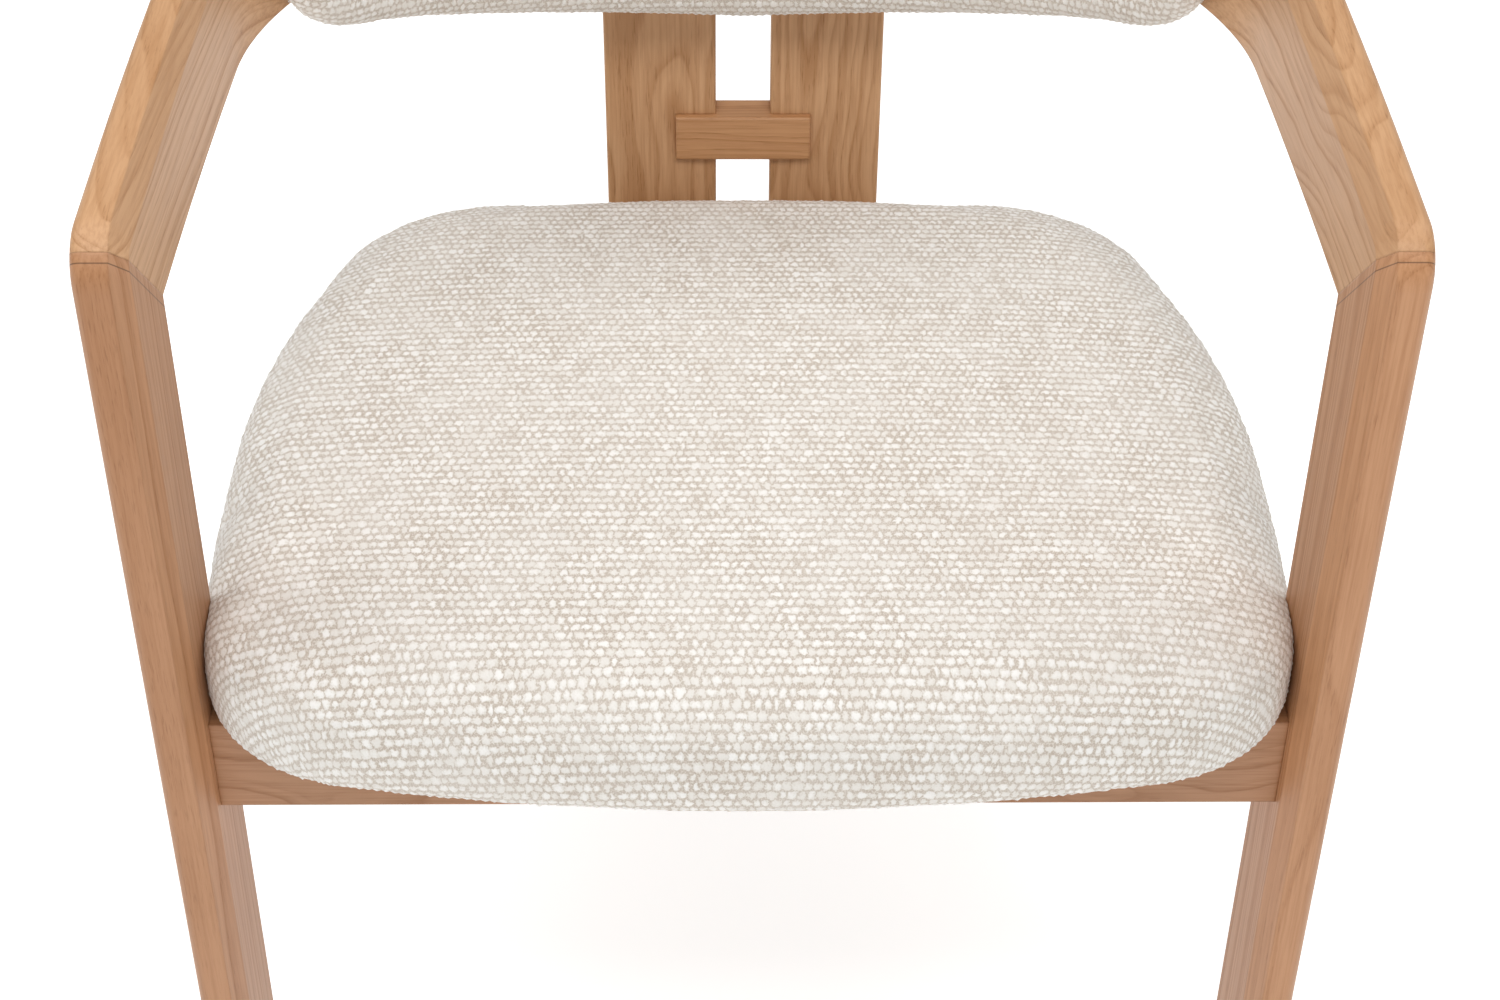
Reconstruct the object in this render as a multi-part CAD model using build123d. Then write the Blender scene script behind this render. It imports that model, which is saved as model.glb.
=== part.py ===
from build123d import *
import math
import os

# Wooden armchair with an upholstered seat and a curved upholstered back.
# Front is -Y, up is +Z, millimetres.  The origin is on the floor, in the middle of
# the chair's length and width.

# ---- overall ----
overall_width = 582.0          # over the outer faces of the front legs
arm_height = 674.0             # top of the arms at the front corners
plank = 23.0                   # thickness of the legs, arms, crest and rails
overhang = 49.0                # the seat cushion stands this far in front of the front legs
foot_reach = 512.0             # from the front of the front legs to the back of the rear feet
front = (overhang - foot_reach) / 2    # Y of the front legs' front faces
inner = overall_width / 2 - plank      # X of the legs' inner faces

# ---- frame of legs and rails ----
leg_depth = 65.0
corner_radius = 25.0           # rounded outer corner where a front leg turns into its arm
ridge_width = 5.5              # bevel along the inner front ridge, across the plank
ridge_depth = 15.0             # the same bevel, along the inner face
outer_round = 6.0              # rounding of the outer front ridge
edge_round = 1.5               # rounding of the other long edges
glide_height = 4.0
rail_height = 54.0
seat_level = 385.0             # top of the rails, where the seat rests
front_rail_setback = 22.0      # behind the front faces of the front legs
rear_leg_inner = 187.0         # X of the rear legs' inner faces
rear_leg_front = 428.0         # behind the front legs' front faces, at the top of the leg
rear_leg_top_depth = 58.0
rear_foot_depth = 44.0
side_rail_front_x = 212.0      # X of the side rails' inner faces where they meet the front rail

# ---- bend of the arms into the crest rail, seen from above ----
arm_taper = 2.0                # degrees that an arm has turned inwards where its bend starts
bend_start = 270.0             # behind the front legs' front faces
bend_radius = 170.0
bend_end = 60.0                # degrees turned where the tight bend meets the crest's curve
crest_joint = 36.0             # degrees turned where an arm is joined to the crest rail

# ---- heights of the arms and crest, seen from the side ----
arm_slope_top = 4.2
arm_slope_bottom = 2.0
top_straight_to = 215.0
bottom_straight_to = 300.0
crest_top = 728.0
crest_bottom = 640.0

# ---- splat of two boards joined by a key ----
board_width = 67.0
board_thickness = 18.0
slot_width = 33.0
key_width = 82.0
key_height = 29.0
key_middle = 474.0
key_proud = 5.0
key_lap = 8.0

# ---- upholstery ----
fabric = 1.5
seat_thickness = 66.0
seat_edge_radius = 24.0
seat_half_width = 271.0        # where the seat is widest
seat_widest_at = 190.0         # behind the front legs' front faces
seat_front_side = 1700.0       # radius of the sides in front of the widest place
seat_back_side = 555.0         # and behind it
seat_back = 457.0              # behind the front legs' front faces
seat_front_bow = 33.0          # how far the front edge bows forward of its ends
seat_back_bow = 15.0
seat_front_corner = 92.0
seat_back_corner = 110.0
seat_low_edge_radius = 9.0
seat_board_inset = 12.0
dust_inset = 46.0              # the dust cloth closes the underside up to this far from the edge
dust_thickness = 0.8
plywood = 12.0
back_low = 574.0
back_high = 745.0
back_thickness = 44.0
back_end_thickness = 24.0
back_half_width = 257.0
back_plywood = 9.0
back_corner = 62.0
back_turn = 19.0               # degrees turned where an end of the pad starts
back_board_inset = 12.0

# ---- fasteners ----
dowel_diameter = 10.0
dowel_length = 50.0
short_dowel_length = 36.0
tenon_size = (37.0, 8.0, 34.0)
crest_tenon_middle = 636.0
crest_dowel_rises = (24.0, 56.0)       # above the underside of the arm at its end
crest_dowel_slope = 0.12
seat_bolt_diameter = 6.0
seat_bolt_head = 11.0
tee_nut_barrel = 8.0
tee_nut_flange = 18.0
tee_nut_flange_thickness = 1.5
brace_depth = 36.0
brace_screw_setback = 8.0              # from the rail's face to the middle of a brace screw
back_screw_level = 684.0
back_screw_turns = (70.0, 79.0)        # degrees round the crest's curve
plug_diameter = 11.0
glide_diameter = 20.0
glue_gap = 0.15                # radial room round dowels, screws and plugs


def extrude_up(face, low, high):
    return extrude(Pos(0, 0, low) * face, amount=high - low)


def point_at(base, heading, radius):
    return (base[0] + radius * math.cos(math.radians(heading)),
            base[1] + radius * math.sin(math.radians(heading)))


# Centres and radii of the three arcs that the arm and crest follow on the right side.
# A heading is how far the arm has turned inwards from straight back.
taper_radius = (bend_start - leg_depth) / math.sin(math.radians(arm_taper))
taper_centre = (inner - taper_radius, front + leg_depth)
taper_end = point_at(taper_centre, arm_taper, taper_radius)
bend_centre = point_at(taper_end, arm_taper + 180, bend_radius)
bend_finish = point_at(bend_centre, bend_end, bend_radius)
crest_radius = bend_finish[0] / math.cos(math.radians(bend_end))
crest_centre = point_at(bend_finish, bend_end + 180, crest_radius)
crest_inner = crest_centre[1] + crest_radius   # Y of the crest's inner face in the middle


def arc(centre, radius, first, last):
    middle = (first + last) / 2
    return ThreePointArc(point_at(centre, first, radius),
                         point_at(centre, middle, radius),
                         point_at(centre, last, radius))


def strip(lines_inner, lines_outer):
    """A flat face between two chains of curves that run the same way."""
    start = Line(lines_inner[0] @ 0, lines_outer[0] @ 0)
    end = Line(lines_inner[-1] @ 1, lines_outer[-1] @ 1)
    return make_face([start, end] + lines_inner + lines_outer)


def arm_plan():
    """The right arm and the leg below it, seen from above."""
    sides = []
    for off in (0.0, plank):
        leg_line = Line((inner + off, front), (inner + off, front + leg_depth))
        taper = arc(taper_centre, taper_radius + off, 0, arm_taper)
        bend = arc(bend_centre, bend_radius + off, arm_taper, crest_joint)
        sides.append([leg_line, taper, bend])
    return strip(sides[0], sides[1])


def crest_chain(off, bend_from):
    """The curve of the crest from right to left, off millimetres outside its inner face."""
    left_centre = (-bend_centre[0], bend_centre[1])
    return [arc(bend_centre, bend_radius + off, bend_from, bend_end),
            arc(crest_centre, crest_radius + off, bend_end, 180 - bend_end),
            arc(left_centre, bend_radius + off, 180 - bend_end, 180 - bend_from)]


def crest_plan():
    return strip(crest_chain(0.0, crest_joint), crest_chain(plank, crest_joint))


def side_profile(legs):
    """The arms and crest seen from the side, with the front leg if legs is true."""
    back = crest_inner + plank + 2
    slope_top = math.radians(arm_slope_top)
    slope_bottom = math.radians(arm_slope_bottom)
    top_bend = (front + top_straight_to,
                arm_height + top_straight_to * math.tan(slope_top))
    low_corner = (front + leg_depth, arm_height - leg_depth)
    low_run = bottom_straight_to - leg_depth
    low_bend = (front + bottom_straight_to, low_corner[1] + low_run * math.tan(slope_bottom))
    top_line = Line((front, arm_height), top_bend)
    top_arc = TangentArc([top_bend, (back, crest_top)],
                         tangent=(math.cos(slope_top), math.sin(slope_top)))
    end_line = Line((back, crest_top), (back, crest_bottom))
    low_arc = TangentArc([low_bend, (back, crest_bottom)],
                         tangent=(math.cos(slope_bottom), math.sin(slope_bottom)))
    low_line = Line(low_corner, low_bend)
    leg_foot = glide_height if legs else low_corner[1]
    leg_lines = [Line((front, arm_height), (front, leg_foot)),
                 Line((front, leg_foot), (front + leg_depth, leg_foot))]
    if legs:
        leg_lines.append(Line((front + leg_depth, leg_foot), low_corner))
    outline = make_face([top_line, top_arc, end_line, low_arc, low_line] + leg_lines)
    corner = outline.vertices().sort_by_distance((front, arm_height, 0))[0]
    return fillet(corner, corner_radius)


def across(profile):
    """A side profile drawn in Y and Z, made solid over the chair's whole width."""
    placed = Plane.YZ * profile
    return extrude(placed, amount=overall_width, both=True)


def ridge_edge(shape, x_face):
    """The long upright edge at the front of the leg, on the face at x_face."""
    upright = shape.edges().filter_by(Axis.Z)
    fronts = [edge for edge in upright if abs(edge.center().Y - front) < 0.01]
    return [edge for edge in fronts if abs(edge.center().X - x_face) < 0.01]


def face_at_x(shape, x_face):
    flat = shape.faces().filter_by(Axis.X)
    return [face for face in flat if abs(face.center().X - x_face) < 0.01][0]


def arm_and_leg():
    """Right front leg and arm in one piece, before the mitre saws them apart."""
    blank = extrude_up(arm_plan(), 0, crest_top + 50) & across(side_profile(True))
    blank = chamfer(ridge_edge(blank, inner), ridge_depth, ridge_width,
                    reference=face_at_x(blank, inner))
    blank = fillet(ridge_edge(blank, inner + plank), outer_round)
    foot_edges = blank.faces().sort_by(Axis.Z)[0].edges()
    return chamfer(foot_edges, edge_round)


def mitre_plane():
    """The saw cut runs at 45 degrees from the outer corner down to the inner corner."""
    return Plane(origin=(0, front, arm_height), x_dir=(1, 0, 0), z_dir=(0, 1, 1))


def dowel(middle, direction, length=dowel_length, diameter=dowel_diameter, gap=0.0):
    """A dowel, or with a gap the hole for one, centred on middle along direction."""
    axis = Plane(origin=middle, z_dir=direction)
    rod = axis * Cylinder(diameter / 2 + gap, length + 2 * gap)
    if gap == 0.0:
        ends = rod.edges().filter_by(GeomType.CIRCLE)
        rod = chamfer(ends, 1.0)
    return rod


def both_sides(places):
    """Each place and direction on the right side, with its mirror image on the left."""
    mirrored = [((-x, y, z), (-dx, dy, dz)) for (x, y, z), (dx, dy, dz) in places]
    return places + mirrored


def holes(places, length=dowel_length, diameter=dowel_diameter):
    return [dowel(middle, direction, length, diameter, glue_gap) for middle, direction in places]


def group(places, length=dowel_length, diameter=dowel_diameter):
    return Compound([dowel(middle, direction, length, diameter) for middle, direction in places])


def drill(shape, tools):
    """Cuts each tool that reaches the shape out of it."""
    box = shape.bounding_box()
    for tool in tools:
        other = tool.bounding_box()
        apart = (other.min.X > box.max.X or other.max.X < box.min.X
                 or other.min.Y > box.max.Y or other.max.Y < box.min.Y
                 or other.min.Z > box.max.Z or other.max.Z < box.min.Z)
        if not apart:
            shape = shape - tool
    return shape


def mirrored(shape):
    return mirror(shape, about=Plane.YZ)


def block(x0, x1, y0, y1, z0, z1):
    """A box between two corners."""
    middle = ((x0 + x1) / 2, (y0 + y1) / 2, (z0 + z1) / 2)
    return Pos(*middle) * Box(abs(x1 - x0), abs(y1 - y0), abs(z1 - z0))


# ---- frame ----
rail_low = seat_level - rail_height
front_rail_front = front + front_rail_setback
front_rail_back = front_rail_front + plank
board_front = crest_inner
board_back = board_front + board_thickness
rear_rail_middle = (board_front + board_back) / 2
rear_rail_front = rear_rail_middle - plank / 2
rear_rail_back = rear_rail_middle + plank / 2
rear_leg_front_top = front + rear_leg_front
rear_foot_front = front + foot_reach - rear_foot_depth


def rear_leg_side():
    """The rear leg from the side: raked back and tapered towards the foot."""
    return make_face(Polyline((rear_leg_front_top, seat_level),
                              (rear_leg_front_top + rear_leg_top_depth, seat_level),
                              (front + foot_reach, glide_height),
                              (rear_foot_front, glide_height), close=True))


def rear_leg():
    leg = Pos(rear_leg_inner, 0, 0) * extrude(Plane.YZ * rear_leg_side(), amount=plank)
    rounded = [edge for edge in leg.edges() if edge.length > rail_height * 2
               and edge.center().X > rear_leg_inner + 1]
    return fillet(rounded, edge_round * 2)


def side_rail_inner(y):
    """X of the right side rail's inner face at a given Y."""
    drift = (side_rail_front_x - rear_leg_inner) / (rear_leg_front_top - front_rail_back)
    return side_rail_front_x - drift * (y - front_rail_back)


def side_rail():
    """Runs inwards from the front rail and stops against the front of the rear leg."""
    far = rear_leg_front_top + rear_leg_top_depth / 2
    plan = Polyline((side_rail_front_x, front_rail_back),
                    (side_rail_front_x + plank, front_rail_back),
                    (side_rail_inner(far) + plank, far),
                    (side_rail_inner(far), far), close=True)
    return extrude_up(make_face(plan), rail_low, seat_level) - across(rear_leg_side())


def splat_board():
    """The right board, whose top follows the underside of the crest rail."""
    middle_of_crest = (crest_bottom + crest_top) / 2
    board = block(slot_width / 2, slot_width / 2 + board_width, board_front, board_back,
                  seat_level, middle_of_crest)
    board = fillet(board.edges().filter_by(Axis.Z), edge_round)
    return board - across(side_profile(False))


def splat_key():
    """A head let into the fronts of both boards, and a stem that fills the slot."""
    low = key_middle - key_height / 2
    high = key_middle + key_height / 2
    head = block(-key_width / 2, key_width / 2, board_front - key_proud,
                 board_front + key_lap, low, high)
    rim = head.faces().sort_by(Axis.Y)[0].edges()
    head = chamfer(rim, 1.0)
    stem = block(-slot_width / 2, slot_width / 2, board_front + key_lap, board_back, low, high)
    return head + stem


# ---- joints between the wooden pieces ----
mitre_dowel_shares = (0.42, 0.72)
rail_dowel_shares = (0.28, 0.72)


def mitre_dowel_places():
    x = inner + plank / 2 + 1
    return [((x, front + leg_depth * share, arm_height - leg_depth * share), (0, 1, 1))
            for share in mitre_dowel_shares]


def front_rail_dowel_places():
    return [((inner, front_rail_front + plank / 2, rail_low + rail_height * share), (1, 0, 0))
            for share in rail_dowel_shares]


def side_rail_dowel_places():
    x_front = side_rail_front_x + plank / 2
    x_back = rear_leg_inner + plank / 2
    places = []
    for share in rail_dowel_shares:
        z = rail_low + rail_height * share
        rake = (seat_level - z) * (rear_foot_front - rear_leg_front_top) / (seat_level - glide_height)
        places.append(((x_front, front_rail_back, z), (0, 1, 0)))
        places.append(((x_back, rear_leg_front_top + rake, z), (0, 1, 0)))
    return places


def rear_rail_dowel_places():
    return [((rear_leg_inner, rear_rail_middle, rail_low + rail_height * share), (1, 0, 0))
            for share in rail_dowel_shares]


def crest_dowel_places():
    """Across the joint between an arm and the crest rail, along the grain."""
    middle = point_at(bend_centre, crest_joint, bend_radius + plank / 2)
    run = math.radians(crest_joint)
    direction = (-math.sin(run), math.cos(run), crest_dowel_slope)
    depth = middle[1] - front
    low = arm_height - leg_depth + depth * math.tan(math.radians(arm_slope_bottom))
    return [((middle[0], middle[1], low + rise), direction) for rise in crest_dowel_rises]


def tenon(x, z, gap=0.0):
    """A loose tenon half in a splat board and half in the rail above or below it."""
    wide, thick, tall = [size + 2 * gap for size in tenon_size]
    body = Pos(x, rear_rail_middle, z) * Box(wide, thick, tall)
    return fillet(body.edges().filter_by(Axis.Z), 3.5)


def tenon_places():
    x = slot_width / 2 + board_width / 2
    return [(side * x, z) for side in (1, -1) for z in (seat_level, crest_tenon_middle)]


# ---- seat ----
def seat_outline(inset):
    """The D shape of the seat from above, drawn inset millimetres inside its edge."""
    half = seat_half_width - inset
    widest = front + seat_widest_at
    low = front - overhang + inset
    high = front + seat_back - inset
    front_radius = seat_front_side - inset
    back_radius = seat_back_side - inset
    front_turn = math.degrees(math.asin((low + seat_front_bow - widest) / front_radius))
    back_turn_end = math.degrees(math.asin((high - seat_back_bow - widest) / back_radius))
    sides = [arc((half - front_radius, widest), front_radius, front_turn, 0),
             arc((half - back_radius, widest), back_radius, 0, back_turn_end)]
    front_x, front_end = (sides[0] @ 0).X, (sides[0] @ 0).Y
    back_x, back_end = (sides[1] @ 1).X, (sides[1] @ 1).Y
    sides = sides + [mirror(side, about=Plane.YZ) for side in sides]
    front_edge = ThreePointArc((-front_x, front_end), (0, low), (front_x, front_end))
    back_edge = ThreePointArc((back_x, back_end), (0, high), (-back_x, back_end))
    outline = make_face([front_edge, back_edge] + sides)
    fronts = outline.vertices().sort_by(Axis.Y)[:2]
    outline = fillet(fronts, seat_front_corner - inset)
    backs = outline.vertices().sort_by(Axis.Y)[-2:]
    return fillet(backs, seat_back_corner - inset)


def cushion_form(inset):
    """The closed outer form of the seat cushion, or of what lies inset inside it."""
    low = seat_level + inset
    high = seat_level + seat_thickness - inset
    form = extrude_up(seat_outline(inset), low, high)
    top_edges = form.faces().sort_by(Axis.Z)[-1].edges()
    form = fillet(top_edges, seat_edge_radius - inset)
    low_edges = form.faces().sort_by(Axis.Z)[0].edges()
    return fillet(low_edges, seat_low_edge_radius - inset)


seat_screw_places = [(190.0, front_rail_back + 22), (-190.0, front_rail_back + 22),
                     (152.0, rear_rail_front - 40), (-152.0, rear_rail_front - 40)]
block_low = seat_level - brace_depth
block_high = seat_level
front_block_size = 70.0
rear_block_size = 90.0
ply_low = seat_level + fabric
ply_high = ply_low + plywood


def rod(x, y, low, high, diameter):
    return Pos(x, y, (low + high) / 2) * Cylinder(diameter / 2, high - low)


def seat_screw(x, y, gap=0.0):
    shank = rod(x, y, block_low, ply_high - 2, seat_bolt_diameter + 2 * gap)
    head = rod(x, y, block_low - 4, block_low, seat_bolt_head)
    return shank if gap else shank + head


def tee_nut(x, y):
    """A flange on top of the plywood and a threaded barrel down through it."""
    flange = rod(x, y, ply_high, ply_high + tee_nut_flange_thickness, tee_nut_flange)
    barrel = rod(x, y, ply_low + 2, ply_high, tee_nut_barrel)
    return flange + barrel - rod(x, y, 0, ply_high - 1, seat_bolt_diameter + 2 * glue_gap)


def seat_parts():
    board = extrude_up(seat_outline(fabric + seat_board_inset), ply_low, ply_high)
    for x, y in seat_screw_places:
        board = board - rod(x, y, ply_low - 1, ply_high + 1, tee_nut_barrel)
    inside = cushion_form(fabric)
    filled = board
    for x, y in seat_screw_places:
        flange_top = ply_high + tee_nut_flange_thickness
        filled = filled + rod(x, y, ply_low, ply_high, tee_nut_barrel)
        filled = filled + rod(x, y, ply_high, flange_top, tee_nut_flange)
    foam = inside - filled
    opening = extrude_up(seat_outline(dust_inset), seat_level - 1, ply_low)
    cover = cushion_form(0) - inside - opening
    dust = extrude_up(seat_outline(dust_inset), ply_low - dust_thickness, ply_low)
    for x, y in seat_screw_places:
        dust = dust - rod(x, y, seat_level - 1, ply_low + 1, 9)
    return board, foam.solids().sort_by(SortBy.VOLUME)[-1], cover, dust


def corner_block(rear):
    """A wooden brace in the angle between two rails, on the right side."""
    if rear:
        y = rear_rail_front
        far = y - rear_block_size
        rail_end = rear_leg_front_top + 6
        points = [(rear_leg_inner, y), (rear_leg_inner - rear_block_size, y),
                  (side_rail_inner(far), far), (side_rail_inner(rail_end), rail_end),
                  (rear_leg_inner, rail_end)]
    else:
        y = front_rail_back
        far = y + front_block_size
        points = [(side_rail_inner(y), y), (side_rail_inner(y) - front_block_size, y),
                  (side_rail_inner(far), far)]
    brace = extrude_up(make_face(Polyline(*points, close=True)), block_low, block_high)
    return brace


def block_screw_places():
    """Two screws through each brace: one into the front or rear rail, one into the side rail."""
    z = rail_low + rail_height / 2
    along_side = front_rail_back + 46
    return [((168.0, front_rail_back + brace_screw_setback, z), (0, -1, 0)),
            ((side_rail_inner(along_side) - brace_screw_setback, along_side, z), (1, 0, 0)),
            ((140.0, rear_rail_front - brace_screw_setback, z), (0, 1, 0)),
            ((rear_leg_inner - brace_screw_setback, rear_rail_front - 14, z), (1, 0, 0))]


def block_screw(middle, direction, gap=0.0):
    """A countersunk wood screw.  Its head lies below the face of the brace."""
    axis = Plane(origin=middle, z_dir=direction)
    shank = axis * Pos(0, 0, 4) * Cylinder(2 + gap, 30)
    head = axis * Pos(0, 0, -9.5) * Cylinder(4 + gap, 3 + 2 * gap)
    if gap:
        bore = axis * Pos(0, 0, -30) * Cylinder(4 + gap, 40)
        return shank + head + bore
    return shank + head


# ---- back pad ----
def pad_plan(inset):
    """The pad from above: its back follows the crest, and it thins towards its ends."""
    turn = back_turn
    back = crest_chain(-inset, turn + inset * 0.3)
    right_back = back[0] @ 0
    left_back = back[-1] @ 1
    run = math.radians(turn)
    thin = back_end_thickness - 2 * inset
    right_front = (right_back.X - thin * math.cos(run), right_back.Y - thin * math.sin(run))
    left_front = (-right_front[0], right_front[1])
    middle = (0, crest_inner - back_thickness + inset)
    face_arc = ThreePointArc(left_front, middle, right_front)
    ends = [Line(right_back, right_front), Line(left_front, left_back)]
    return make_face(back + [face_arc] + ends)


def pad_front_view(inset):
    """The pad from the front: a long panel with well rounded corners."""
    tall = back_high - back_low - 2 * inset
    wide = 2 * (back_half_width - inset)
    return Pos(0, (back_high + back_low) / 2) * RectangleRounded(wide, tall, back_corner - inset)


def pad_form(inset):
    upright = extrude_up(pad_plan(inset), back_low - 10, back_high + 10)
    shape = extrude(Plane.XZ * pad_front_view(inset), amount=foot_reach, both=True)
    return upright & shape


def back_board():
    """Curved plywood behind the foam."""
    outer = crest_chain(-fabric, back_turn + 2)
    inner_side = crest_chain(-fabric - back_plywood, back_turn + 2)
    sheet = extrude_up(strip(inner_side, outer), back_low, back_high)
    wide = 2 * (back_half_width - back_board_inset)
    tall = back_high - back_low - 2 * back_board_inset
    view = Pos(0, (back_high + back_low) / 2) * RectangleRounded(
        wide, tall, back_corner - back_board_inset)
    return sheet & extrude(Plane.XZ * view, amount=foot_reach, both=True)


def back_screw_places():
    """Where four screws go through the crest rail into the plywood of the back pad."""
    places = []
    for angle in back_screw_turns:
        point = point_at(crest_centre, angle, crest_radius)
        run = math.radians(angle)
        places.append(((point[0], point[1], back_screw_level), (math.cos(run), math.sin(run), 0)))
    return both_sides(places)


def along(middle, direction, start, end, diameter):
    """A round bar from start to end along direction, measured from middle."""
    axis = Plane(origin=middle, z_dir=direction)
    return axis * Pos(0, 0, (start + end) / 2) * Cylinder(diameter / 2, end - start)


def back_screw(middle, direction, gap=0.0):
    shank = along(middle, direction, -9, 14, 5 + 2 * gap)
    head = along(middle, direction, 14, 17, 9 + 2 * gap)
    return shank + head


def screw_plug(middle, direction, gap=0.0):
    """A round wooden plug in the back of the crest rail, over the head of a screw."""
    if gap:
        return along(middle, direction, 17, plank + 20, plug_diameter + 2 * gap)
    return along(middle, direction, 17.2, plank - 0.3, plug_diameter)


def foot_glide(x, y):
    """A plastic disc under a foot, with the pin that holds it in the leg."""
    disc = rod(x, y, 0, glide_height, glide_diameter)
    disc = chamfer(disc.edges().sort_by(Axis.Z)[0], 1.0)
    return disc + rod(x, y, glide_height, glide_height + 14, 3)


def save(shape, name):
    export_step(shape, "parts/" + name + ".step")


def pair(shape, name):
    """Writes a piece of the right side and its mirror image on the left."""
    save(shape, name + "_right")
    save(mirrored(shape), name + "_left")


def main():
    os.makedirs("parts", exist_ok=True)

    mitre = both_sides(mitre_dowel_places())
    front_joints = both_sides(front_rail_dowel_places())
    side_joints = both_sides(side_rail_dowel_places())
    rear_joints = both_sides(rear_rail_dowel_places())
    crest_joints = both_sides(crest_dowel_places())
    glide_places = [(inner + plank / 2, front + leg_depth / 2),
                    (rear_leg_inner + plank / 2, front + foot_reach - rear_foot_depth / 2)]
    pins = [rod(x, y, 0, glide_height + 14 + glue_gap, 3 + 2 * glue_gap) for x, y in glide_places]
    short_joints = mitre + front_joints + rear_joints + side_joints
    dowel_holes = holes(short_joints, short_dowel_length) + holes(crest_joints)
    tenon_holes = [tenon(x, z, glue_gap) for x, z in tenon_places()]
    back_places = back_screw_places()
    back_holes = [back_screw(m, d, glue_gap) + screw_plug(m, d, glue_gap) for m, d in back_places]
    brace_places = both_sides(block_screw_places())
    brace_holes = [block_screw(m, d, glue_gap) for m, d in brace_places]
    seat_holes = [seat_screw(x, y, glue_gap) for x, y in seat_screw_places]

    blank = arm_and_leg()
    arm = split(blank, bisect_by=mitre_plane(), keep=Keep.TOP)
    front_leg = split(blank, bisect_by=mitre_plane(), keep=Keep.BOTTOM)
    pair(drill(arm, dowel_holes), "arm")
    pair(drill(front_leg, dowel_holes + pins), "front_leg")

    crest = extrude_up(crest_plan(), 0, crest_top + 50) & across(side_profile(False))
    middle_top = [edge for edge in crest.edges()
                  if abs(edge.center().X) < 1 and edge.center().Z > (crest_top + crest_bottom) / 2]
    inner_top = ShapeList(middle_top).sort_by(Axis.Y)[0]
    outer_top = ShapeList(middle_top).sort_by(Axis.Y)[-1]
    inner_face = [face for face in crest.faces() if abs(face.center().X) < 1]
    inner_face = ShapeList(inner_face).sort_by(Axis.Y)[0]
    crest = chamfer(inner_top, ridge_depth, ridge_width, reference=inner_face)
    outer_top = [edge for edge in crest.edges() if abs(edge.center().X) < 1
                 and (edge.center() - outer_top.center()).length < 1]
    crest = fillet(outer_top, outer_round)
    save(drill(crest, dowel_holes + tenon_holes + back_holes), "crest_rail")

    leg = rear_leg()
    pair(drill(leg, dowel_holes + pins + brace_holes), "rear_leg")
    pair(drill(side_rail(), dowel_holes + brace_holes), "side_rail")
    front_rail = block(-inner, inner, front_rail_front, front_rail_back, rail_low, seat_level)
    save(drill(front_rail, dowel_holes + brace_holes), "front_rail")
    rear_rail = block(-rear_leg_inner, rear_leg_inner, rear_rail_front, rear_rail_back,
                      rail_low, seat_level)
    save(drill(rear_rail, dowel_holes + tenon_holes + brace_holes), "rear_rail")

    key = splat_key()
    pair(drill(splat_board() - key, tenon_holes), "splat_board")
    save(key, "splat_key")
    save(Compound([tenon(x, z) for x, z in tenon_places()]), "splat_tenons")

    save(group(mitre, short_dowel_length), "mitre_dowels")
    save(group(front_joints, short_dowel_length), "front_rail_dowels")
    save(group(side_joints, short_dowel_length), "side_rail_dowels")
    save(group(rear_joints, short_dowel_length), "rear_rail_dowels")
    save(group(crest_joints), "crest_dowels")

    for rear, name in ((False, "front"), (True, "rear")):
        brace = drill(corner_block(rear), brace_holes + seat_holes)
        pair(brace, "corner_block_" + name)
    save(Compound([block_screw(m, d) for m, d in brace_places]), "corner_block_screws")
    save(Compound([seat_screw(x, y) for x, y in seat_screw_places]), "seat_screws")
    save(Compound([tee_nut(x, y) for x, y in seat_screw_places]), "seat_tee_nuts")
    board, foam, cover, dust = seat_parts()
    save(board, "seat_board")
    save(foam, "seat_foam")
    save(drill(cover, seat_holes), "seat_cover")
    save(dust, "seat_dust_cover")

    inside = pad_form(fabric)
    curved = back_board()
    screw_tips = [back_screw(m, d, glue_gap) for m, d in back_places]
    save(drill(curved, screw_tips), "back_board")
    save(inside - curved, "back_foam")
    save(drill(pad_form(0) - inside, screw_tips), "back_cover")
    save(Compound([back_screw(m, d) for m, d in back_places]), "back_screws")
    save(Compound([screw_plug(m, d) for m, d in back_places]), "screw_plugs")

    for (x, y), name in zip(glide_places, ("front", "rear")):
        pair(foot_glide(x, y), "foot_glide_" + name)


main()
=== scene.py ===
import math
import bmesh
import bpy
import numpy as np
from mathutils import Matrix, Vector
from mathutils.bvhtree import BVHTree
from mathutils.kdtree import KDTree


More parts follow.
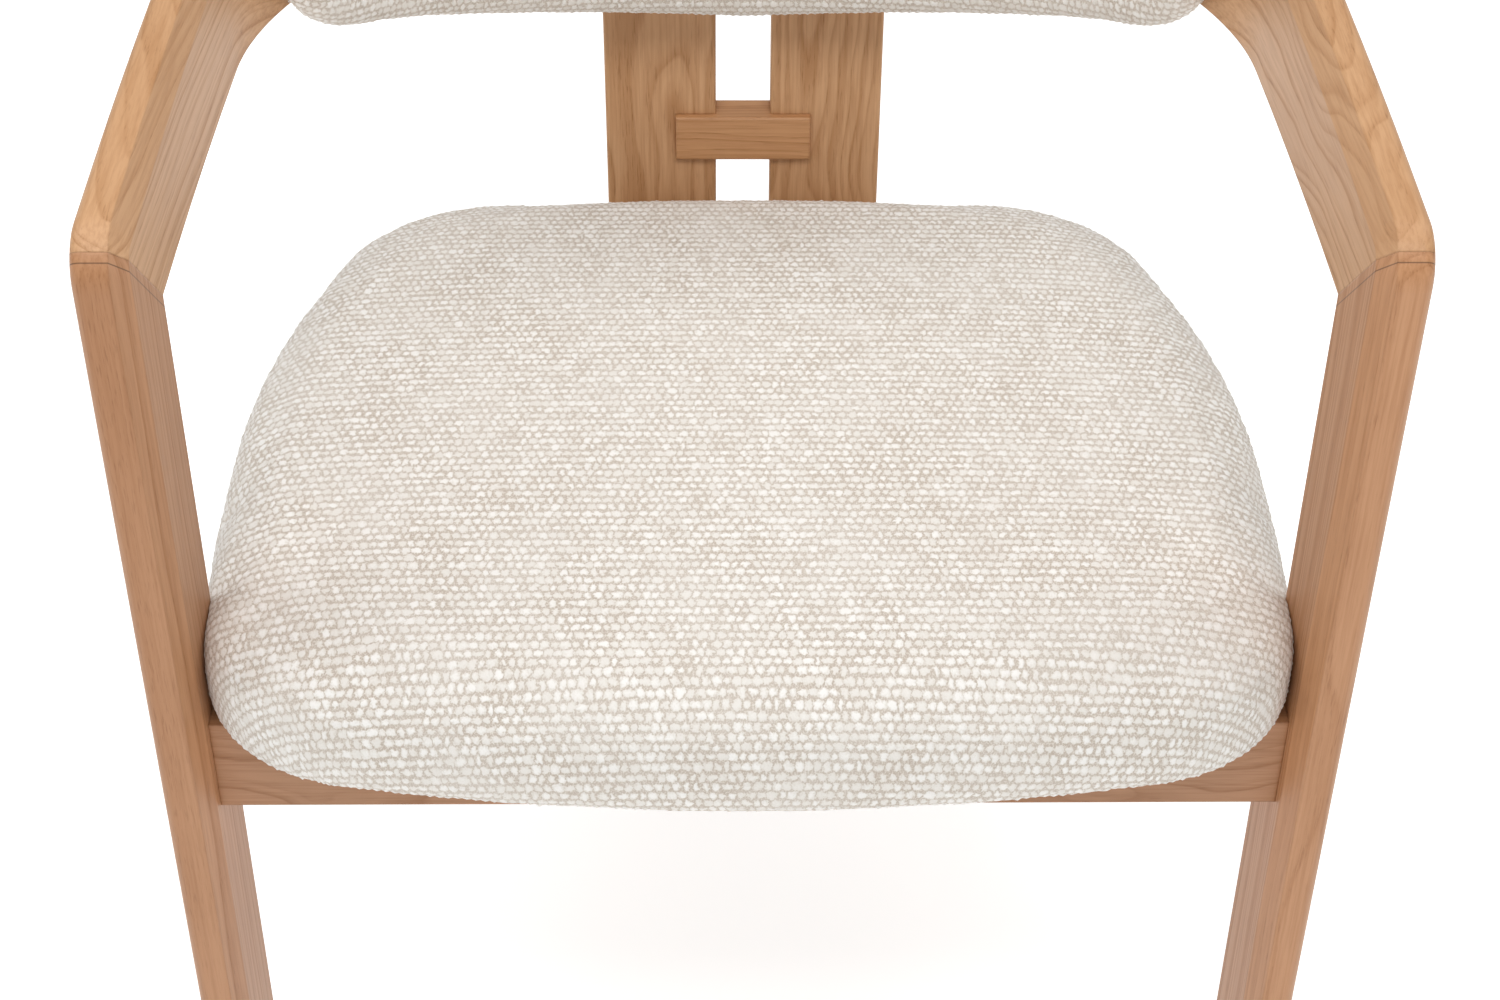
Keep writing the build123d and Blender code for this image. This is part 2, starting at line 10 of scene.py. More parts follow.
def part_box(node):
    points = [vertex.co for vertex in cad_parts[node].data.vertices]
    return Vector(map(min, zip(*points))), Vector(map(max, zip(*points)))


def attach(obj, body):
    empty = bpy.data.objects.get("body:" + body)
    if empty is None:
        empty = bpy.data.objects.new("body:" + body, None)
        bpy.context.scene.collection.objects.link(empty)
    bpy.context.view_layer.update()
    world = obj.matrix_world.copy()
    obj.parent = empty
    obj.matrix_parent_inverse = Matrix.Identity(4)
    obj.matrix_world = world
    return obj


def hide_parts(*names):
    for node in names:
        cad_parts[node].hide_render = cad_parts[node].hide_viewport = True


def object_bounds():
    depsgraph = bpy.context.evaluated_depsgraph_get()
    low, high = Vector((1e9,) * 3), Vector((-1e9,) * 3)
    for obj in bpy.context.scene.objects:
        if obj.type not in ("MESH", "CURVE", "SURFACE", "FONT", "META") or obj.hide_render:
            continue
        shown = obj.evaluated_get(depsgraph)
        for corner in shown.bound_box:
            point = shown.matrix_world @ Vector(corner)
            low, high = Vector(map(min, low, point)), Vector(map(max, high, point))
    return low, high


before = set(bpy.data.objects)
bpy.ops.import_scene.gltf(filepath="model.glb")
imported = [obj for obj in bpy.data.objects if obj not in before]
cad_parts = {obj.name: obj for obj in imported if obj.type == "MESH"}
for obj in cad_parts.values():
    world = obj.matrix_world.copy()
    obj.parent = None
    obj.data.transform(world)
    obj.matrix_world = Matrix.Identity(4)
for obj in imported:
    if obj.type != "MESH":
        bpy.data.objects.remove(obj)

# Wooden armchair with a woven seat cushion and a curved back pad.
# Metres, front is -Y, up is +Z, floor at z = 0.
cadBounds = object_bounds()
scene = bpy.context.scene
mm = 0.001

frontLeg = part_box("front_leg_right")
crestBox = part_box("crest_rail")
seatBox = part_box("seat_cover")
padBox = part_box("back_cover")
plank = frontLeg[1].x - frontLeg[0].x
frontY = frontLeg[0].y
armTop = frontLeg[1].z


def linear(hexColour):
    # sRGB hex to a linear colour with alpha
    parts = [int(hexColour[i:i + 2], 16) / 255 for i in (0, 2, 4)]
    return tuple(c / 12.92 if c <= 0.04045 else ((c + 0.055) / 1.055) ** 2.4 for c in parts) + (1.0,)


def addNode(tree, kind, inputs=None, stops=None, **settings):
    # one node with its settings, colour stops and links
    node = tree.nodes.new(kind)
    for name, value in settings.items():
        setattr(node, name, value)
    for key, value in (inputs or {}).items():
        if isinstance(value, bpy.types.NodeSocket):
            tree.links.new(value, node.inputs[key])
        else:
            node.inputs[key].default_value = value
    if stops:
        elements = node.color_ramp.elements
        while len(elements) < len(stops):
            elements.new(0.5)
        for element, (position, colour) in zip(elements, stops):
            element.position = position
            element.color = colour
    return node


def newMaterial(name):
    material = bpy.data.materials.new(name)
    material.use_nodes = True
    tree = material.node_tree
    tree.nodes.clear()
    return material, tree


# Satin lacquered ash. It is ring porous: each year leaves a darker band of open pores, then
# dense smooth wood.
# The planks were sawn, sanded and given clear satin lacquer, so the eye sees soft bands,
# short fine pore streaks along the grain and a broad dull sheen.
ash = {
    "light": "cda178",
    "base": "c0936a",
    "deep": "a67548",
    "line": "86572b",
    "glue": "4a3020",
    "ringWidth": 5.5 * mm,
    "sway": 45 * mm,             # how far the rings wander sideways along a plank
    "poreAcross": 0.42 * mm,     # real pores are 0.25 mm, drawn coarser so that they show
    "poreAlong": 6.0 * mm,
    "fibreAcross": 0.9 * mm,
    "fibreAlong": 30 * mm,
    "roughness": 0.42,
    "ior": 1.5,
    "edgeRound": 1.4 * mm,
    "jointLine": 0.45 * mm,
    "grainDepth": 0.08 * mm,
}


def ashWood(name, along, pith, seed, tone=0.0, waviness=1.0, ring=1.0, joint=False, paintedShade="ffffff"):
    # along is the grain's axis, 0 1 2 for X Y Z; pith is where the heart of the tree lay, in
    # the two other axes; joint darkens the hairline of the mitre between leg and arm
    material, tree = newMaterial(name)
    place = addNode(tree, "ShaderNodeTexCoord").outputs["Object"]
    split = addNode(tree, "ShaderNodeSeparateXYZ", {0: place})
    others = [axis for axis in (0, 1, 2) if axis != along]
    run = split.outputs[along]
    sideA = split.outputs[others[0]]
    sideB = split.outputs[others[1]]
    # slow wander of the rings along the plank
    slow = addNode(tree, "ShaderNodeCombineXYZ", {
        0: addNode(tree, "ShaderNodeMath", {0: run, 1: 5.0 * waviness}, operation="MULTIPLY").outputs[0],
        1: addNode(tree, "ShaderNodeMath", {0: sideA, 1: 14.0}, operation="MULTIPLY").outputs[0],
        2: addNode(tree, "ShaderNodeMath", {0: sideB, 1: 14.0}, operation="MULTIPLY").outputs[0]})
    wander = addNode(tree, "ShaderNodeTexNoise", {
        "Vector": addNode(tree, "ShaderNodeVectorMath", {
            0: slow.outputs[0], 1: (seed, seed * 1.7, seed * 0.6)}, operation="ADD").outputs[0],
        "Scale": 1.0, "Detail": 2.5, "Roughness": 0.45}, noise_dimensions="3D")
    wanderSplit = addNode(tree, "ShaderNodeSeparateColor", {0: wander.outputs["Color"]})
    shifted = []
    for side, offset, output in ((sideA, pith[0], 0), (sideB, pith[1], 1)):
        sway = addNode(tree, "ShaderNodeMath", {0: wanderSplit.outputs[output], 1: 0.5}, operation="SUBTRACT")
        sway = addNode(tree, "ShaderNodeMath", {0: sway.outputs[0], 1: ash["sway"] * waviness},
                       operation="MULTIPLY")
        centred = addNode(tree, "ShaderNodeMath", {0: side, 1: offset}, operation="SUBTRACT")
        moved = addNode(tree, "ShaderNodeMath", {0: centred.outputs[0], 1: sway.outputs[0]}, operation="ADD")
        shifted.append(addNode(tree, "ShaderNodeMath", {0: moved.outputs[0], 1: moved.outputs[0]},
                               operation="MULTIPLY").outputs[0])
    radius = addNode(tree, "ShaderNodeMath", {
        0: addNode(tree, "ShaderNodeMath", {0: shifted[0], 1: shifted[1]}, operation="ADD").outputs[0]},
        operation="SQRT")
    # years of different width
    years = addNode(tree, "ShaderNodeMath", {0: radius.outputs[0], 1: ash["ringWidth"] * ring},
                    operation="DIVIDE")
    uneven = addNode(tree, "ShaderNodeTexNoise", {"W": years.outputs[0], "Scale": 0.45, "Detail": 1.0},
                     noise_dimensions="1D")
    years = addNode(tree, "ShaderNodeMath", {
        0: years.outputs[0],
        1: addNode(tree, "ShaderNodeMath", {0: uneven.outputs[0], 1: 2.2}, operation="MULTIPLY").outputs[0]},
        operation="ADD")
    year = addNode(tree, "ShaderNodeMath", {0: years.outputs[0]}, operation="FRACT")
    early = addNode(tree, "ShaderNodeValToRGB", {0: year.outputs[0]}, stops=[
        (0.0, (0.15, 0.15, 0.15, 1)), (0.10, (1, 1, 1, 1)), (0.34, (0.42, 0.42, 0.42, 1)),
        (0.72, (0.0, 0.0, 0.0, 1)), (1.0, (0.12, 0.12, 0.12, 1))])
    # how strongly this year is marked
    whichYear = addNode(tree, "ShaderNodeMath", {0: years.outputs[0]}, operation="FLOOR")
    marked = addNode(tree, "ShaderNodeTexWhiteNoise", {"W": whichYear.outputs[0]}, noise_dimensions="1D")
    marked = addNode(tree, "ShaderNodeMapRange", {0: marked.outputs[0], 1: 0.0, 2: 1.0, 3: 0.35, 4: 1.0})
    band = addNode(tree, "ShaderNodeMath", {0: early.outputs[0], 1: marked.outputs[0]}, operation="MULTIPLY")

    # pores and fibres, long and thin along the grain
    streaks = []
    for across, length, detail in (("poreAcross", "poreAlong", 2.0), ("fibreAcross", "fibreAlong", 3.0)):
        stretched = addNode(tree, "ShaderNodeCombineXYZ", {
            0: addNode(tree, "ShaderNodeMath", {0: run, 1: 1 / ash[length]}, operation="MULTIPLY").outputs[0],
            1: addNode(tree, "ShaderNodeMath", {0: sideA, 1: 1 / ash[across]},
                       operation="MULTIPLY").outputs[0],
            2: addNode(tree, "ShaderNodeMath", {0: sideB, 1: 1 / ash[across]},
                       operation="MULTIPLY").outputs[0]})
        streaks.append(addNode(tree, "ShaderNodeTexNoise", {
            "Vector": addNode(tree, "ShaderNodeVectorMath", {0: stretched.outputs[0], 1: (seed, seed, seed)},
                              operation="ADD").outputs[0],
            "Scale": 0.5, "Detail": detail, "Roughness": 0.55}, noise_dimensions="3D").outputs[0])
    pores = addNode(tree, "ShaderNodeMapRange", {0: streaks[0], 1: 0.54, 2: 0.70, 3: 0.0, 4: 1.0})
    inBand = addNode(tree, "ShaderNodeMapRange", {0: band.outputs[0], 1: 0.0, 2: 0.7, 3: 0.12, 4: 1.0})
    pores = addNode(tree, "ShaderNodeMath", {0: pores.outputs[0], 1: inBand.outputs[0]}, operation="MULTIPLY")

    # colours: slow change of tone over the plank, the year's band, fibres, then pores
    patch = addNode(tree, "ShaderNodeTexNoise", {"Vector": slow.outputs[0], "Scale": 0.8, "Detail": 1.0},
                    noise_dimensions="3D")
    patchTone = addNode(tree, "ShaderNodeMapRange", {
        0: patch.outputs[0], 1: 0.3 + tone, 2: 0.7 + tone, 3: 0.0, 4: 1.0})
    body = addNode(tree, "ShaderNodeMix", {
        0: patchTone.outputs[0], 6: linear(ash["base"]), 7: linear(ash["light"])}, data_type="RGBA")
    bandAmount = addNode(tree, "ShaderNodeMath", {0: band.outputs[0], 1: 0.75}, operation="MULTIPLY")
    body = addNode(tree, "ShaderNodeMix", {
        0: bandAmount.outputs[0], 6: body.outputs[2], 7: linear(ash["deep"])}, data_type="RGBA")
    fibreAmount = addNode(tree, "ShaderNodeMapRange", {0: streaks[1], 1: 0.42, 2: 0.75, 3: 0.0, 4: 0.55})
    body = addNode(tree, "ShaderNodeMix", {
        0: fibreAmount.outputs[0], 6: body.outputs[2], 7: linear(ash["deep"])}, data_type="RGBA")
    poreAmount = addNode(tree, "ShaderNodeMath", {0: pores.outputs[0], 1: 0.55}, operation="MULTIPLY")
    body = addNode(tree, "ShaderNodeMix", {
        0: poreAmount.outputs[0], 6: body.outputs[2], 7: linear(ash["line"])}, data_type="RGBA")
    # painted shade: the colour is multiplied by the plank's shade tint, which darkens the legs and the rails
    # under the seat where shade falls; the key's tint is only faintly warm
    body = addNode(tree, "ShaderNodeMix", {0: 1.0, 6: body.outputs[2], 7: linear(paintedShade)},
                   data_type="RGBA", blend_type="MULTIPLY")
    if joint:
        # distance from the saw cut, which falls at 45 degrees from the outer corner
        cut = addNode(tree, "ShaderNodeVectorMath", {0: place, 1: (0.0, math.sqrt(0.5), math.sqrt(0.5))},
                      operation="DOT_PRODUCT")
        depth = (frontY + armTop) * math.sqrt(0.5)
        cut = addNode(tree, "ShaderNodeMath", {0: cut.outputs["Value"], 1: depth}, operation="SUBTRACT")
        cut = addNode(tree, "ShaderNodeMath", {0: cut.outputs[0]}, operation="ABSOLUTE")
        glue = addNode(tree, "ShaderNodeMapRange", {
            0: cut.outputs[0], 1: 0.0, 2: ash["jointLine"], 3: 0.85, 4: 0.0})
        body = addNode(tree, "ShaderNodeMix", {0: glue.outputs[0], 6: body.outputs[2], 7: linear(ash["glue"])},
                       data_type="RGBA")
    roughness = addNode(tree, "ShaderNodeMapRange", {
        0: band.outputs[0], 1: 0.0, 2: 1.0, 3: ash["roughness"], 4: ash["roughness"] + 0.12})
    softEdge = addNode(tree, "ShaderNodeBevel", {"Radius": ash["edgeRound"]}, samples=6)
    grainHeight = addNode(tree, "ShaderNodeMath", {
        0: addNode(tree, "ShaderNodeMath", {0: streaks[1], 1: 0.5}, operation="MULTIPLY").outputs[0],
        1: pores.outputs[0]}, operation="SUBTRACT")
    bump = addNode(tree, "ShaderNodeBump", {
        "Strength": 0.35, "Distance": ash["grainDepth"], "Height": grainHeight.outputs[0],
        "Normal": softEdge.outputs[0]})
    shader = addNode(tree, "ShaderNodeBsdfPrincipled", {
        "Base Color": body.outputs[2], "Roughness": roughness.outputs[0], "IOR": ash["ior"],
        "Specular IOR Level": 0.45, "Normal": bump.outputs[0]})
    addNode(tree, "ShaderNodeOutputMaterial", {0: shader.outputs[0]})
    return material


# Basket weave of polyester and cotton yarn, with thick off-white nubs over a beige ground,
# woven in rows.
# The nubs are matt and soft, with loose fibres on top; the small dark gaps between them are painted shade over
# the ground yarn.
weave = {
    "pitch": 4.8 * mm,           # from nub to nub along a row
    "row": 5.7 * mm,             # from row to row
    "nubHeight": 0.8 * mm,
    "nubUp": 0.55,               # shares of nubHeight
    "gapDown": -0.25,
    "uneven": (0.5, 1.3),
    "stray": 0.12,
    "search": 30 * mm,           # how far the cloth looks for its form
    "hemLift": 0.3,              # nubs are pressed flat at the hem
    "perNub": 2,                 # grid steps to a nub, so that each nub has a raised point
    "nub": "f3f1ee",
    "cream": "e6e2dc",
    "ground": "dad3ca",
    # painted shade: the ground yarn darkened where the gaps between nubs fall in shade
    "gap": "bfb2a5",
    "roughness": 0.95,
    "fuzz": 22.0,                # fibre noise across one nub
    "ragged": 2.6,               # unevenness across one nub
}


def wovenCloth(name, paintedShade):
    # UV runs in nubs along a row and in rows
    material, tree = newMaterial(name)
    uv = addNode(tree, "ShaderNodeUVMap", uv_map="weave").outputs[0]
    # the yarn isn't even: nubs slide along and across their rows
    slide = addNode(tree, "ShaderNodeTexNoise", {"Vector": uv, "Scale": 0.55, "Detail": 2.0},
                    noise_dimensions="2D")
    slide = addNode(tree, "ShaderNodeVectorMath", {0: slide.outputs["Color"], 1: (0.5, 0.5, 0.5)},
                    operation="SUBTRACT")
    slide = addNode(tree, "ShaderNodeVectorMath", {0: slide.outputs[0], 1: (0.9, 0.34, 0.0)},
                    operation="MULTIPLY")
    moved = addNode(tree, "ShaderNodeVectorMath", {0: uv, 1: slide.outputs[0]}, operation="ADD")
    # loose fibres make each nub's outline uneven
    ragged = addNode(tree, "ShaderNodeTexNoise", {"Vector": uv, "Scale": weave["ragged"], "Detail": 2.0},
                     noise_dimensions="2D")
    ragged = addNode(tree, "ShaderNodeVectorMath", {0: ragged.outputs["Color"], 1: (0.5, 0.5, 0.5)},
                     operation="SUBTRACT")
    ragged = addNode(tree, "ShaderNodeVectorMath", {0: ragged.outputs[0], 1: (0.5, 0.5, 0.0)},
                     operation="MULTIPLY")
    moved = addNode(tree, "ShaderNodeVectorMath", {0: moved.outputs[0], 1: ragged.outputs[0]},
                    operation="ADD")
    split = addNode(tree, "ShaderNodeSeparateXYZ", {0: moved.outputs[0]})
    row = addNode(tree, "ShaderNodeMath", {0: split.outputs[1]}, operation="FLOOR")
    odd = addNode(tree, "ShaderNodeMath", {0: row.outputs[0], 1: 0.5}, operation="MULTIPLY")
    alongRow = addNode(tree, "ShaderNodeMath", {0: split.outputs[0], 1: odd.outputs[0]}, operation="ADD")
    cell = addNode(tree, "ShaderNodeMath", {0: alongRow.outputs[0]}, operation="FLOOR")
    which = addNode(tree, "ShaderNodeCombineXYZ", {0: cell.outputs[0], 1: row.outputs[0]})
    chance = addNode(tree, "ShaderNodeTexWhiteNoise", {"Vector": which.outputs[0]}, noise_dimensions="2D")
    chanceParts = addNode(tree, "ShaderNodeSeparateColor", {0: chance.outputs["Color"]})
    # an oval nub in each cell, some longer and some rounder
    halfLong = addNode(tree, "ShaderNodeMapRange", {0: chanceParts.outputs[0], 3: 0.30, 4: 0.56})
    halfWide = addNode(tree, "ShaderNodeMapRange", {0: chanceParts.outputs[1], 3: 0.30, 4: 0.50})
    acrossCell = addNode(tree, "ShaderNodeMath", {
        0: addNode(tree, "ShaderNodeMath", {0: alongRow.outputs[0]}, operation="FRACT").outputs[0], 1: 0.5},
        operation="SUBTRACT")
    upCell = addNode(tree, "ShaderNodeMath", {
        0: addNode(tree, "ShaderNodeMath", {0: split.outputs[1]}, operation="FRACT").outputs[0], 1: 0.5},
        operation="SUBTRACT")
    ovalA = addNode(tree, "ShaderNodeMath", {
        0: addNode(tree, "ShaderNodeMath", {0: acrossCell.outputs[0], 1: halfLong.outputs[0]},
                   operation="DIVIDE").outputs[0], 1: 2.0}, operation="POWER")
    ovalB = addNode(tree, "ShaderNodeMath", {
        0: addNode(tree, "ShaderNodeMath", {0: upCell.outputs[0], 1: halfWide.outputs[0]},
                   operation="DIVIDE").outputs[0], 1: 2.0}, operation="POWER")
    oval = addNode(tree, "ShaderNodeMath", {0: ovalA.outputs[0], 1: ovalB.outputs[0]}, operation="ADD")
    dome = addNode(tree, "ShaderNodeMapRange", {0: oval.outputs[0], 1: 0.0, 2: 1.25, 3: 1.0, 4: 0.0})
    dome = addNode(tree, "ShaderNodeMath", {0: dome.outputs[0], 1: 0.75}, operation="POWER")
    fibres = addNode(tree, "ShaderNodeTexNoise", {
        "Vector": uv, "Scale": weave["fuzz"] / 4, "Detail": 3.0, "Roughness": 0.6}, noise_dimensions="2D")
    tall = addNode(tree, "ShaderNodeMapRange", {0: chanceParts.outputs[2], 3: 0.55, 4: 1.0})
    height = addNode(tree, "ShaderNodeMath", {0: dome.outputs[0], 1: tall.outputs[0]}, operation="MULTIPLY")
    fuzzy = addNode(tree, "ShaderNodeMath", {
        0: height.outputs[0],
        1: addNode(tree, "ShaderNodeMath", {0: fibres.outputs[0], 1: 0.9}, operation="MULTIPLY").outputs[0]},
        operation="ADD")
    # colour by height: painted shade deep in the gaps between nubs, then ground yarn, cream and the off-white
    # top of the nub
    level = addNode(tree, "ShaderNodeMath", {
        0: fuzzy.outputs[0], 1: 0.38}, operation="SUBTRACT")
    colour = addNode(tree, "ShaderNodeValToRGB", {0: level.outputs[0]}, stops=[
        (0.02, linear(weave["gap"])), (0.20, linear(weave["ground"])),
        (0.52, linear(weave["cream"])), (0.86, linear(weave["nub"]))])
    # half of the nubs are hardly lighter than the ground
    plain = addNode(tree, "ShaderNodeMapRange", {
        0: chanceParts.outputs[2], 1: 0.25, 2: 0.75, 3: 0.75, 4: 0.0})
    colour = addNode(tree, "ShaderNodeMix", {
        0: plain.outputs[0], 6: colour.outputs[0], 7: linear(weave["cream"])},
        data_type="RGBA", blend_type="DARKEN")
    # yarn lots differ a little from one part of the cloth to the next
    lots = addNode(tree, "ShaderNodeTexNoise", {"Vector": uv, "Scale": 0.09, "Detail": 3.0},
                   noise_dimensions="2D")
    lotAmount = addNode(tree, "ShaderNodeMapRange", {0: lots.outputs[0], 1: 0.35, 2: 0.7, 3: 0.0, 4: 0.28})
    colour = addNode(tree, "ShaderNodeMix", {0: lotAmount.outputs[0], 6: colour.outputs[2],
                                             7: linear(weave["cream"])}, data_type="RGBA")
    # the shade tint is a hook for painted shade on the cloth; both cloths pass white, so it changes nothing
    colour = addNode(tree, "ShaderNodeMix", {0: 1.0, 6: colour.outputs[2], 7: linear(paintedShade)},
                     data_type="RGBA", blend_type="MULTIPLY")
    bump = addNode(tree, "ShaderNodeBump", {
        "Strength": 0.5, "Distance": weave["nubHeight"], "Height": fuzzy.outputs[0]})
    shader = addNode(tree, "ShaderNodeBsdfPrincipled", {
        "Base Color": colour.outputs[2], "Roughness": weave["roughness"], "IOR": 1.45,
        "Specular IOR Level": 0.15, "Sheen Weight": 0.15, "Sheen Roughness": 0.6,
        "Normal": bump.outputs[0]})
    addNode(tree, "ShaderNodeOutputMaterial", {0: shader.outputs[0]})
    return material


def speckled(name, dark, light, grain, roughness, metallic=0.0, ior=1.5, stretch=(1, 1, 1)):
    # a finish of two close tones; grain is the size of its speckle
    material, tree = newMaterial(name)
    place = addNode(tree, "ShaderNodeTexCoord").outputs["Object"]
    stretched = addNode(tree, "ShaderNodeVectorMath", {0: place, 1: stretch}, operation="MULTIPLY")
    noise = addNode(tree, "ShaderNodeTexNoise", {
        "Vector": stretched.outputs[0], "Scale": 1 / grain, "Detail": 4.0, "Roughness": 0.6},
        noise_dimensions="3D")
    tone = addNode(tree, "ShaderNodeMapRange", {0: noise.outputs[0], 1: 0.35, 2: 0.65, 3: 0.0, 4: 1.0})
    colour = addNode(tree, "ShaderNodeMix", {0: tone.outputs[0], 6: linear(dark), 7: linear(light)},
                     data_type="RGBA")
    rough = addNode(tree, "ShaderNodeMapRange", {0: noise.outputs[0], 1: 0.3, 2: 0.7,
                                                 3: roughness - 0.05, 4: roughness + 0.08})
    bump = addNode(tree, "ShaderNodeBump", {
        "Strength": 0.5, "Distance": 0.05 * mm, "Height": noise.outputs[0]})
    values = {"Base Color": colour.outputs[2], "Roughness": rough.outputs[0], "Metallic": metallic,
              "Normal": bump.outputs[0]}
    if metallic == 0.0:
        values["IOR"] = ior
    shader = addNode(tree, "ShaderNodeBsdfPrincipled", values)
    addNode(tree, "ShaderNodeOutputMaterial", {0: shader.outputs[0]})
    return material


def finish(nodes, material):
    for name in nodes:
        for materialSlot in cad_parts[name].material_slots:
            materialSlot.material = material


print("wood")
# along is the grain's axis and pith the heart of the tree; tone lightens or darkens a plank's colour, and the
# shade tint is painted shade that darkens the legs and the rails under the seat
planks = {
    "arm_left": dict(along=1, pith=(-0.36, 0.50), seed=3.1, joint=True, ring=0.8, waviness=0.6),
    "arm_right": dict(along=1, pith=(0.33, 0.57), seed=8.7, joint=True),
    "front_leg_left": dict(along=2, pith=(-0.30, -0.42), seed=5.3, joint=True, waviness=0.55, paintedShade="ebdfdb"),
    "front_leg_right": dict(along=2, pith=(0.33, -0.36), seed=11.9, joint=True, waviness=0.6, paintedShade="f0e3dd"),
    "rear_leg_left": dict(along=2, pith=(-0.31, 0.10), seed=14.2, waviness=0.6, paintedShade="f0e3dd"),
    "rear_leg_right": dict(along=2, pith=(0.29, 0.12), seed=17.4, waviness=0.6, paintedShade="ebdfdb"),
    "crest_rail": dict(along=0, pith=(0.20, 0.80), seed=21.5),
    "front_rail": dict(along=0, pith=(-0.29, 0.31), seed=24.8, waviness=1.3, paintedShade="dcd0cc"),
    "rear_rail": dict(along=0, pith=(0.30, 0.30), seed=27.3, paintedShade="e9dfd8"),
    "side_rail_left": dict(along=1, pith=(-0.30, 0.29), seed=30.1, paintedShade="e9dfd8"),
    "side_rail_right": dict(along=1, pith=(0.31, 0.28), seed=33.6, paintedShade="e9dfd8"),
    "splat_board_left": dict(along=2, pith=(-0.05, 0.262), seed=36.2, tone=-0.2),
    "splat_board_right": dict(along=2, pith=(0.04, 0.259), seed=39.9, tone=-0.9),
    "splat_key": dict(along=0, pith=(0.30, 0.52), seed=42.4, ring=0.7, paintedShade="fff8f0"),
}
for node, look in planks.items():
    finish([node], ashWood("ash_" + node, **look))
finish(["screw_plugs"], ashWood("ash_plugs", along=1, pith=(0.5, 0.5), seed=45.0, tone=0.12))

# rubberwood braces, planed and left bare; fluted beech dowels; birch plywood
braces = [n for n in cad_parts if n.startswith("corner_block_") and not n.endswith("screws")]
finish(braces, speckled("planed_rubberwood", "b98d5e", "d0aa7c", 9 * mm, 0.7, stretch=(1, 1, 6)))
dowels = ["mitre_dowels", "front_rail_dowels", "side_rail_dowels", "rear_rail_dowels", "crest_dowels",
          "splat_tenons"]
finish(dowels, speckled("turned_beech", "bf9065", "d8b088", 3 * mm, 0.75))
finish(["seat_board", "back_board"], speckled("birch_plywood", "c4a172", "dcc094", 12 * mm, 0.7))
# zinc plated steel: dull silver with faint spangle
finish(["corner_block_screws", "seat_screws", "seat_tee_nuts", "back_screws"],
       speckled("zinc_plated_steel", "9c9d9b", "c3c4c0", 1.5 * mm, 0.35, metallic=1.0))
# moulded nylon glides, brown, finely textured
glides = [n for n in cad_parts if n.startswith("foot_glide_")]
finish(glides, speckled("moulded_nylon", "35281e", "46362a", 1.2 * mm, 0.55, ior=1.53))
# thin bonded polyester cloth that closes the underside
finish(["seat_dust_cover"], speckled("bonded_dust_cloth", "131314", "242426", 1.8 * mm, 0.9))


# A sheet of cloth lies on a form: flat inside the line where its edge starts to roll, and beyond
# that line it follows the rolled edge, the side and the tuck under, at its true length.
def contourPoints(outline, inset):
    # outline moved in by inset, as points about 1 mm apart with outward normals
    points = np.array(outline)
    step = np.roll(points, -1, 0) - np.roll(points, 1, 0)
    normal = np.stack([step[:, 1], -step[:, 0]], 1)
    normal /= np.linalg.norm(normal, axis=1)[:, None]
    return points - normal * inset, normal


def signedDistance(places, points, normals):
    # distance outside the contour, the nearest place on it and the normal there
    tree = KDTree(len(points))
    for i, point in enumerate(points):
        tree.insert((point[0], point[1], 0), i)
    tree.balance()
    near = np.array([tree.find((x, y, 0))[1] for x, y in places])
    foot = points[near]
    normal = normals[near]
    tangent = np.stack([-normal[:, 1], normal[:, 0]], 1)
    slip = np.sum((places - foot) * tangent, 1)
    ahead = (near + np.where(slip > 0, 1, -1)) % len(points)
    gap = np.linalg.norm(points[ahead] - foot, axis=1)
    share = np.clip(np.abs(slip) / np.maximum(gap, 1e-6), 0, 0.5)[:, None]
    normal = normal * (1 - share) + normals[ahead] * share
    normal /= np.linalg.norm(normal, axis=1)[:, None]
    outside = np.sum((places - foot) * normal, 1)
    return outside, foot + tangent * slip[:, None] * 0.98, normal


def rolledEdge(distance, thickness, top, low, tuck):
    # how far out and down the cloth has come after a distance over the edge
    quarterTop = top * math.pi / 2
    quarterLow = low * math.pi / 2
    side = np.maximum(thickness - top - low, 0)
    a = np.clip(distance, 0, quarterTop) / top
    straight = np.clip(distance - quarterTop, 0, side)
    b = np.clip(distance - quarterTop - side, 0, quarterLow) / low
    rest = np.clip(distance - quarterTop - side - quarterLow, 0, tuck)
    out = top * np.sin(a) - low * (1 - np.cos(b)) - rest
    down = top * (1 - np.cos(a)) + straight + low * np.sin(b)
    return out, down, quarterTop + side + quarterLow + tuck


